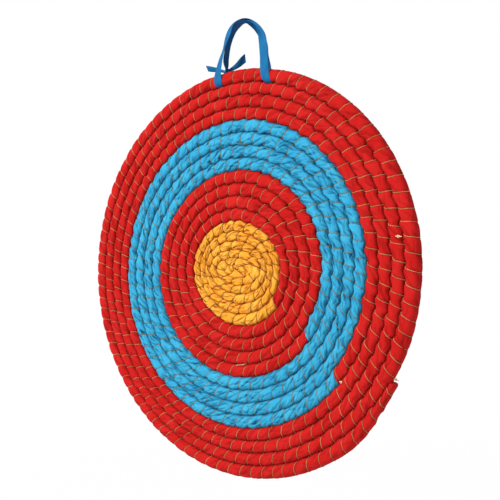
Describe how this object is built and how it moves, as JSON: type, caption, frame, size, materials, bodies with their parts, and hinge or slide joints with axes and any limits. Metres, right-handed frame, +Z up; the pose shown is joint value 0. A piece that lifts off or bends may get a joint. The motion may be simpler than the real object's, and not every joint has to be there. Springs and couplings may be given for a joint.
{
  "type": "archery target boss",
  "caption": "Round flat archery target boss coiled from one cloth-wrapped straw rope in gold, red and blue rings, bound with twine and hung from its rim by a doubled ribbon loop",
  "frame": {"origin": "Where a hook bears, on the underside of the top of the hanging loop", "axes": "+Z is up, +X is to the right across the target face, and the target face looks towards -Y"},
  "size_m": [0.4942, 0.0275, 0.5548],
  "materials": {
    "straw": "bundled dry straw, hidden inside the cloth",
    "gold_cloth": "crinkled matt cloth strip, golden yellow",
    "red_inner_cloth": "smooth matt cloth strip, bright red",
    "blue_cloth": "crinkled matt cloth strip, sky blue",
    "red_outer_cloth": "smooth matt cloth strip, bright red",
    "twine": "thin brown twisted twine",
    "ribbon": "soft flat woven ribbon, mid blue"
  },
  "bodies": {
    "loop": {"hang_ribbon_front": "ribbon", "hang_ribbon_back": "ribbon", "ribbon_knot": "ribbon", "ribbon_tail_left": "ribbon", "ribbon_tail_right": "ribbon"},
    "boss": {"straw_core": "straw", "wrap_gold": "gold_cloth", "wrap_red_inner": "red_inner_cloth", "wrap_blue": "blue_cloth", "wrap_red_outer": "red_outer_cloth", "twine_length_1": "twine", "twine_length_2": "twine", "twine_length_3": "twine", "twine_length_4": "twine", "twine_length_5": "twine", "twine_knot_blue_edge": "twine", "twine_knot_face": "twine", "twine_knot_rim": "twine", "ribbon_foot_left": "ribbon", "ribbon_foot_right": "ribbon"}
  },
  "joints": [
    {"name": "boss_swing", "type": "hinge", "parent": "loop", "child": "boss", "pos_m": [0.00081, 0, -0.06587], "axis": [0.997, 0, -0.0779], "range_deg": [-75, 60]}
  ]
}
